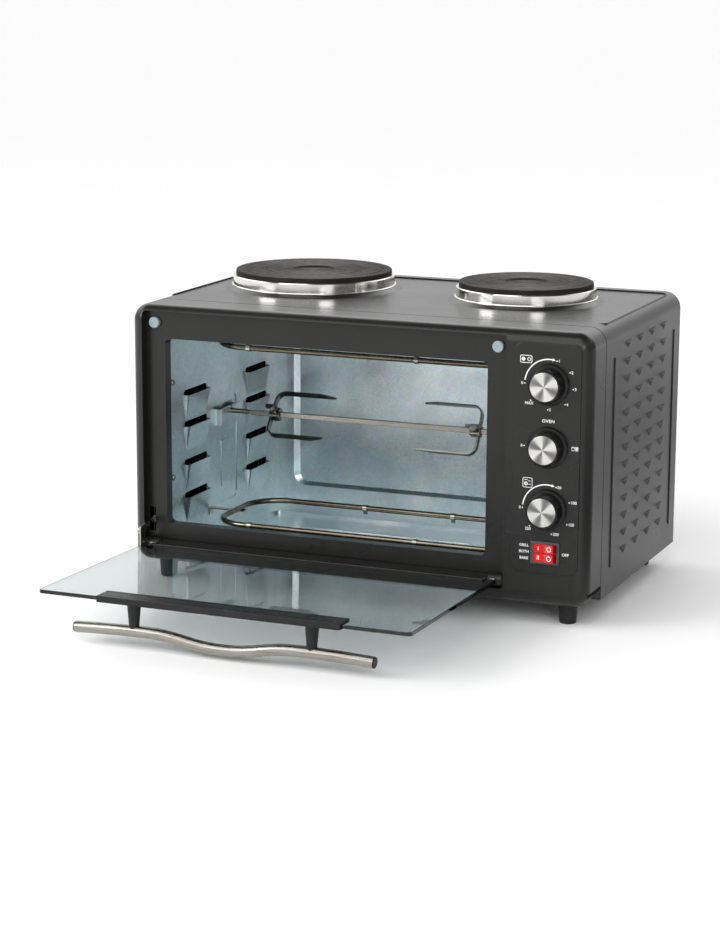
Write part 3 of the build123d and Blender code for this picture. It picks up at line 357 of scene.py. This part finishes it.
def knob_plastic():
    look = Look("knob_plastic", specular_ior_level=0.25)
    look.colour(look.noise(90.0), (0.3, (0.004, 0.004, 0.004)), (0.7, (0.007, 0.007, 0.007)))
    look.roughness(look.noise(400.0), 0.16, 0.24)
    return look.bump(look.noise(1200.0), 0.01 * MM, 0.2)


def bezel_plastic():
    look = Look("bezel_plastic", specular_ior_level=0.5)
    look.colour(look.noise(90.0), (0.3, (0.035, 0.032, 0.032)), (0.7, (0.050, 0.046, 0.046)))
    look.roughness(look.noise(400.0), 0.30, 0.42)
    return look.bump(look.noise(1200.0), 0.01 * MM, 0.3)


def red_plastic():
    # A faint painted glow in the emission brightens the red; the rockers hold no lamp.
    look = Look(
        "red_plastic", specular_ior_level=0.3,
        emission_color=(0.9, 0.01, 0.01, 1.0), emission_strength=0.04,
    )
    look.colour(look.noise(250.0), (0.3, (0.42, 0.003, 0.005)), (0.7, (0.52, 0.006, 0.008)))
    look.roughness(look.noise(400.0), 0.14, 0.24)
    return look.bump(look.noise(900.0), 0.01 * MM, 0.2)


def silicone():
    look = Look("silicone", subsurface_weight=0.3, subsurface_radius=(0.002, 0.002, 0.002))
    look.colour(look.noise(400.0), (0.3, (0.22, 0.27, 0.30)), (0.7, (0.27, 0.33, 0.36)))
    look.roughness(look.noise(500.0), 0.35, 0.5)
    return look.bump(look.noise(1500.0), 0.02 * MM, 0.3)


def ceramic():
    look = Look("ceramic")
    look.colour(look.noise(150.0), (0.3, (0.62, 0.58, 0.50)), (0.7, (0.74, 0.70, 0.62)))
    look.roughness(look.noise(300.0), 0.55, 0.75)
    return look.bump(look.noise(1500.0), 0.04 * MM, 0.4)


def copper_tube():
    look = Look("copper_tube", metallic=1.0)
    look.colour(look.noise(80.0), (0.3, (0.55, 0.30, 0.18)), (0.7, (0.72, 0.42, 0.27)))
    look.roughness(look.noise(300.0), 0.22, 0.38)
    return look.bump(look.noise(900.0), 0.01 * MM, 0.2)


def door_glass():
    """Clear tempered glass, whose ground edges read dark green."""
    look = Look("door_glass", transmission_weight=1.0, ior=1.5)
    normal = look.split(look.node("ShaderNodeNewGeometry").outputs["True Normal"])
    flat = look.maths("ABSOLUTE", normal["Z"])
    look.colour(flat, (0.45, (0.10, 0.22, 0.18)), (0.75, (0.66, 0.715, 0.715)))
    look.roughness(look.noise(18.0, detail=5.0), 0.0, 0.02)
    return look.bump(look.noise(6.0), 0.01 * MM, 0.1)


def ink():
    look = Look("printed_ink")
    look.colour(look.noise(600.0), (0.3, (0.72, 0.72, 0.72)), (0.7, (0.82, 0.82, 0.82)))
    look.roughness(look.noise(900.0), 0.45, 0.6)
    return look.bump(look.noise(1500.0), 0.005 * MM, 0.2)


def floor_look():
    """Pale sheet, with painted shade: a soft grey patch beside the casing for its right side to reflect.
    """
    look = Look("pale_floor", specular_ior_level=0.2)
    patch = look.node(
        "ShaderNodeMapping", {"Vector": look.place, "Location": PATCH_PLACE, "Scale": PATCH_SIZE},
        vector_type="TEXTURE",
    ).outputs["Vector"]
    away = look.vector_maths("LENGTH", patch)["Value"]
    # Painted shade: grey inside the patch, fading out to the pale floor.
    painted_light_and_shade = look.spread(away, 1.0, 0.0, near=PATCH_FADE[0], far=PATCH_FADE[1])
    mottled = look.maths("ADD", painted_light_and_shade, look.spread(look.noise(5.0), -0.004, 0.004))
    look.colour(mottled, (0.0, (0.93, 0.93, 0.93)), (1.0, (0.26, 0.26, 0.26)))
    look.roughness(look.noise(40.0), 0.55, 0.65)
    return look


def dress_nodes():
    dress(powder_coat(), "front_frame", "outer_shell", "rear_panel", "bottom_panel", "hinge_rail")
    dress(
        galvanised(), "cavity_left_wall", "cavity_right_wall", "cavity_top", "cavity_floor",
        "cavity_back_wall", "spit_bracket",
    )
    dress(heater_tube(), "upper_element", "lower_element")
    dress(fork_steel(), "spit", "fork_left", "fork_right")
    dress(
        bright_plate(), "element_clips", "gearmotor", "drive_socket", "thumb_screw_left",
        "thumb_screw_right", "hinge_pins", "stay_arm", "stay_lug", "hotplate_shaft",
        "function_shaft", "oven_shaft", "hotplate_clamps", "casing_screws",
    )
    dress(brushed_steel(), "handle_tube")
    dress(trim_steel(), "trim_ring_left", "trim_ring_right")
    dress(
        dark_plastic(), "hinge_knuckles", "handle_strip", "handle_posts", "handle_end_caps",
        "function_switch", "feet", "cable_gland",
    )
    dress(dark_screws(), "handle_screws")
    dress(knob_plastic(), "hotplate_knob", "function_knob", "oven_knob")
    dress(bezel_plastic(), "rocker_housing")
    dress(red_plastic(), "rocker_grill", "rocker_bake")
    dress(silicone(), "door_bumpers")
    dress(ceramic(), "element_terminals", "hotplate_regulator", "oven_thermostat", "terminal_block")
    dress(copper_tube(), "thermostat_probe")
    dress(door_glass(), "door_glass")
    for node in ("hotplate_left", "hotplate_right"):
        dress(cast_plate(node), node)
    for node in ("hotplate_knob_face", "function_knob_face", "oven_knob_face"):
        dress(spun_aluminium(node), node)


# ---------------------------------------------------------------- printed legends
class Print:
    """Ink on an upright face: flat shapes in X and Z, gathered into one mesh."""

    def __init__(self, name, front_y):
        self.name = name
        self.front_y = front_y
        self.verts = []
        self.faces = []

    def add(self, points, faces, x, z):
        start = len(self.verts)
        self.verts += [Vector((x + px, self.front_y, z + pz)) for px, pz in points]
        self.faces += [[start + i for i in face] for face in faces]

    def text(self, body, x, z, height, spacing=1.0):
        """Text centred on x and z, whose capitals are as high as height."""
        curve = bpy.data.curves.new("legend", "FONT")
        curve.body = body
        curve.size = height / CAP_SHARE
        curve.space_character = spacing
        curve.align_x = "CENTER"
        curve.align_y = "CENTER"
        curve.offset = height * STROKE_GAIN
        curve.resolution_u = LETTER_STEPS
        writer = link(bpy.data.objects.new("legend", curve))
        mesh = bpy.data.meshes.new_from_object(writer)
        points = [(vertex.co.x, vertex.co.y) for vertex in mesh.vertices]
        self.add(points, [list(face.vertices) for face in mesh.polygons], x, z)
        bpy.data.objects.remove(writer)
        bpy.data.curves.remove(curve)
        bpy.data.meshes.remove(mesh)

    def ring(self, x, z, radius, width, start=0.0, end=360.0):
        """Arc band from start to end, in degrees anticlockwise from +X."""
        points = []
        for i in range(RING_STEPS + 1):
            angle = math.radians(start + (end - start) * i / RING_STEPS)
            for r in (radius - width / 2, radius + width / 2):
                points.append((r * math.cos(angle), r * math.sin(angle)))
        self.add(points, [[2 * i, 2 * i + 1, 2 * i + 3, 2 * i + 2] for i in range(RING_STEPS)], x, z)

    def dot(self, x, z, radius):
        angles = [2 * math.pi * i / DOT_STEPS for i in range(DOT_STEPS)]
        rim = [(radius * math.cos(angle), radius * math.sin(angle)) for angle in angles]
        self.add(rim, [list(range(DOT_STEPS))], x, z)

    def bar(self, x, z, width, height):
        half_width = width / 2
        half_height = height / 2
        corners = [
            (-half_width, -half_height), (half_width, -half_height),
            (half_width, half_height), (-half_width, half_height),
        ]
        self.add(corners, [[0, 1, 2, 3]], x, z)

    def frame(self, x, z, width, height, line, corner):
        """Rounded rectangle outline."""
        points = []
        for side, level, first in ((1, 1, 0), (-1, 1, 90), (-1, -1, 180), (1, -1, 270)):
            for i in range(CORNER_STEPS + 1):
                angle = math.radians(first + 90 * i / CORNER_STEPS)
                for r in (corner - line, corner):
                    points.append((
                        side * (width / 2 - corner) + r * math.cos(angle),
                        level * (height / 2 - corner) + r * math.sin(angle),
                    ))
        count = len(points)
        faces = [[i, i + 1, (i + 3) % count, (i + 2) % count] for i in range(0, count, 2)]
        self.add(points, faces, x, z)

    def arrow(self, x, z, length, angle):
        """Solid arrowhead whose middle is at x and z, pointing at angle degrees."""
        turn = math.radians(angle)
        corners = [(length * 0.6, 0), (-length * 0.4, length * 0.5), (-length * 0.4, -length * 0.5)]
        points = [
            (px * math.cos(turn) - pz * math.sin(turn), px * math.sin(turn) + pz * math.cos(turn))
            for px, pz in corners
        ]
        self.add(points, [[0, 1, 2]], x, z)

    def finish(self, body, look):
        """Makes the printed piece, which rides on a body."""
        obj = mesh_object(self.name, self.verts, self.faces, look.material)
        thick = obj.modifiers.new("thickness", "SOLIDIFY")
        thick.thickness = INK_THICKNESS
        thick.offset = 0.0
        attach(obj, body)


def polar(centre, radius, angle):
    """X and Z of the point at that radius and angle in degrees about centre."""
    turn = math.radians(angle)
    return centre.x + radius * math.cos(turn), centre.z + radius * math.sin(turn)


def zero_mark(panel, centre, radius):
    x, z = polar(centre, radius, 180)
    panel.dot(x, z, SCALE_DOT)
    panel.text("0", x - ZERO_GAP, z, NUMERAL)


def dial_scale(panel, centre, marks, arc_end):
    """Zero on the left, an arrow arc over the top, and dots with their numerals."""
    zero_mark(panel, centre, SCALE_RADIUS)
    arrow_start = arc_end + ARROW_SPAN
    panel.ring(centre.x, centre.z, SCALE_RADIUS, SCALE_LINE, start=arrow_start, end=ARC_START)
    arrow_place = polar(centre, SCALE_RADIUS, arc_end + ARROW_SPAN / 2)
    panel.arrow(*arrow_place, ARROW_LENGTH, arc_end + ARROW_TURN)
    for body, angle in marks:
        x, z = polar(centre, SCALE_RADIUS, angle)
        panel.dot(x, z, SCALE_DOT)
        width = CHARACTER_WIDTH * NUMERAL * len(body)
        lower_left = math.cos(math.radians(angle)) <= -0.2
        if lower_left:
            panel.text(body, x - width / 4, z - NUMERAL_DROP, NUMERAL)
        else:
            panel.text(body, x + width / 2 + NUMERAL_GAP, z, NUMERAL)


def print_hotplate_dial(panel):
    """Scale of the two hotplates, and a frame with a filled dot and an open ring."""
    centre = centre_of("hotplate_knob")
    dial_scale(panel, centre, HOTPLATE_MARKS, 77)
    icon_z = centre.z + 26 * MM
    panel.frame(centre.x - 26 * MM, icon_z, 13.5 * MM, 8.4 * MM, 0.7 * MM, 1.8 * MM)
    panel.dot(centre.x - 29 * MM, icon_z, 2.1 * MM)
    panel.ring(centre.x - 22.7 * MM, icon_z, 1.7 * MM, 0.7 * MM)


def print_function_dial(panel):
    """Zero on the left, and two little ovens on the right, one with a bar and one filled."""
    centre = centre_of("function_knob")
    panel.text("OVEN", centre.x, centre.z + 28.3 * MM, 3.6 * MM, spacing=1.1)
    zero_mark(panel, centre, 26.5 * MM)
    icon_z = centre.z + 0.8 * MM
    first_x = centre.x + 28.3 * MM
    second_x = centre.x + 32.3 * MM
    for icon_x in (first_x, second_x):
        panel.frame(icon_x, icon_z, 3.4 * MM, 4.4 * MM, 0.5 * MM, 0.7 * MM)
    panel.bar(first_x, icon_z + 1.2 * MM, 2.0 * MM, 0.5 * MM)
    panel.bar(second_x, icon_z, 1.6 * MM, 2.6 * MM)


def print_oven_dial(panel):
    """Scale of the oven's heat, and a frame with a ring and three bars."""
    centre = centre_of("oven_knob")
    dial_scale(panel, centre, OVEN_MARKS, 73)
    icon_x = centre.x - 22.0 * MM
    icon_z = centre.z + 28.0 * MM
    panel.frame(icon_x, icon_z, 11.0 * MM, 11.0 * MM, 0.6 * MM, 1.8 * MM)
    panel.ring(icon_x - 1.8 * MM, icon_z - 1.2 * MM, 1.5 * MM, 1.1 * MM)
    for across, up, width in ((2.2, 1.8, 2.6), (2.2, -1.8, 2.6), (-1.8, 3.0, 3.6)):
        panel.bar(icon_x + across * MM, icon_z + up * MM, width * MM, 0.6 * MM)


def print_switch_words(panel):
    centre = centre_of("rocker_housing")
    words_z = centre.z - 0.4 * MM
    for row, body in ((1, "GRILL"), (0, "BOTH"), (-1, "BAKE")):
        panel.text(body, centre.x - 24.0 * MM, words_z + row * 7.1 * MM, 3.0 * MM)
    panel.text("OFF", centre.x + 22.8 * MM, words_z, 3.3 * MM)


def print_panel(look):
    panel = Print("panel_legends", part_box("front_frame")[0].y - INK_THICKNESS)
    print_hotplate_dial(panel)
    print_function_dial(panel)
    print_oven_dial(panel)
    print_switch_words(panel)
    panel.finish("oven_body", look)


def surface_tree(mesh):
    """A mesh's faces, ready to be hit by rays."""
    return BVHTree.FromPolygons(
        [vertex.co for vertex in mesh.vertices], [list(face.vertices) for face in mesh.polygons]
    )


def print_rocker(node, body, bars, look):
    """I or II on the left end and O on the right, lying on the tilted faces."""
    low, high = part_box(node)
    middle = centre_of(node)
    height = high.z - low.z
    marks = Print(node + "_marks", 0.0)
    marks.ring(ROCKER_RING_X, 0, height * 0.24, 0.8 * MM)
    for i in range(bars):
        bar_x = ROCKER_BARS_X + ROCKER_BAR_PITCH * (i - (bars - 1) / 2)
        marks.bar(bar_x, 0, 0.7 * MM, height * 0.42)
    surface = surface_tree(NODES[node].data)
    for vertex in marks.verts:
        start = Vector((middle.x + vertex.x, low.y - 10 * MM, middle.z + vertex.z))
        hit = surface.ray_cast(start, Vector((0, 1, 0)))[0]
        vertex.xyz = (start.x, hit.y - INK_THICKNESS, start.z)
    marks.finish(body, look)


# ---------------------------------------------------------------- surroundings
def make_floor():
    corners = [
        (-FLOOR_REACH, -FLOOR_REACH, 0), (FLOOR_REACH, -FLOOR_REACH, 0),
        (FLOOR_REACH, FLOOR_REACH, 0), (-FLOOR_REACH, FLOOR_REACH, 0),
    ]
    mesh_object("floor", corners, [[0, 1, 2, 3]], floor_look().material)


def grey_ramp(tree, value, stops):
    ramp = tree.nodes.new("ShaderNodeValToRGB")
    tree.links.new(value, ramp.inputs["Fac"])
    set_stops(ramp, [(position, (grey, grey, grey)) for position, grey in stops])
    return ramp.outputs["Color"]


def make_world():
    """Grey round the horizon and white above it, with a dark ceiling, and dimmer on the right."""
    world = bpy.data.worlds.new("studio")
    bpy.context.scene.world = world
    world.use_nodes = True
    tree = world.node_tree
    background = tree.nodes["Background"]
    direction = tree.nodes.new("ShaderNodeTexCoord").outputs["Generated"]
    split = tree.nodes.new("ShaderNodeSeparateXYZ")
    tree.links.new(direction, split.inputs[0])
    height = grey_ramp(tree, split.outputs["Z"], ROOM_BY_HEIGHT)
    side = grey_ramp(tree, split.outputs["X"], ROOM_BY_SIDE)
    both = tree.nodes.new("ShaderNodeVectorMath")
    both.operation = "MULTIPLY"
    tree.links.new(height, both.inputs[0])
    tree.links.new(side, both.inputs[1])
    tree.links.new(both.outputs["Vector"], background.inputs["Color"])
    background.inputs["Strength"].default_value = ROOM_STRENGTH


def softbox(name, place, target, size, power):
    light = bpy.data.lights.new(name, "AREA")
    light.shape = "RECTANGLE"
    light.size, light.size_y = size
    light.energy = power
    lamp = link(bpy.data.objects.new(name, light))
    lamp.location = place
    lamp.rotation_euler = (Vector(target) - Vector(place)).to_track_quat("-Z", "Y").to_euler()


def make_lights():
    softbox("overhead_front", (-0.2, -1.3, 2.6), (0, 0, 0.2), (2.6, 1.0), 20)
    softbox("left_front", (-2.6, -2.2, 1.6), (0, 0.1, 0.2), (1.6, 1.8), 45)
    softbox("right_front", (2.2, -2.6, 1.2), (-0.1, 0.1, 0.15), (1.2, 1.2), 25)


def make_camera():
    yaw = math.radians(CAMERA_YAW)
    pitch = math.radians(CAMERA_PITCH)
    ahead = math.cos(pitch)
    forward = Vector((-math.sin(yaw) * ahead, math.cos(yaw) * ahead, -math.sin(pitch)))
    level = forward.cross(Vector((0, 0, 1))).normalized()
    upright = level.cross(forward)
    roll = math.radians(CAMERA_ROLL)
    right = level * math.cos(roll) + upright * math.sin(roll)
    up = upright * math.cos(roll) - level * math.sin(roll)
    turn = Matrix((right, up, -forward)).transposed().to_4x4()
    data = bpy.data.cameras.new("camera")
    data.lens = CAMERA_LENS
    data.sensor_width = CAMERA_SENSOR
    data.shift_x, data.shift_y = CAMERA_SHIFT
    data.clip_end = CAMERA_REACH
    camera = link(bpy.data.objects.new("camera", data))
    camera.matrix_world = Matrix.Translation(CAMERA_PLACE) @ turn
    bpy.context.scene.camera = camera


dress_nodes()
white_ink = ink()
print_panel(white_ink)
print_rocker("rocker_grill", "grill_rocker", 1, white_ink)
print_rocker("rocker_bake", "bake_rocker", 2, white_ink)
make_floor()
make_world()
make_lights()
make_camera()
bpy.context.scene.view_settings.view_transform = "Standard"
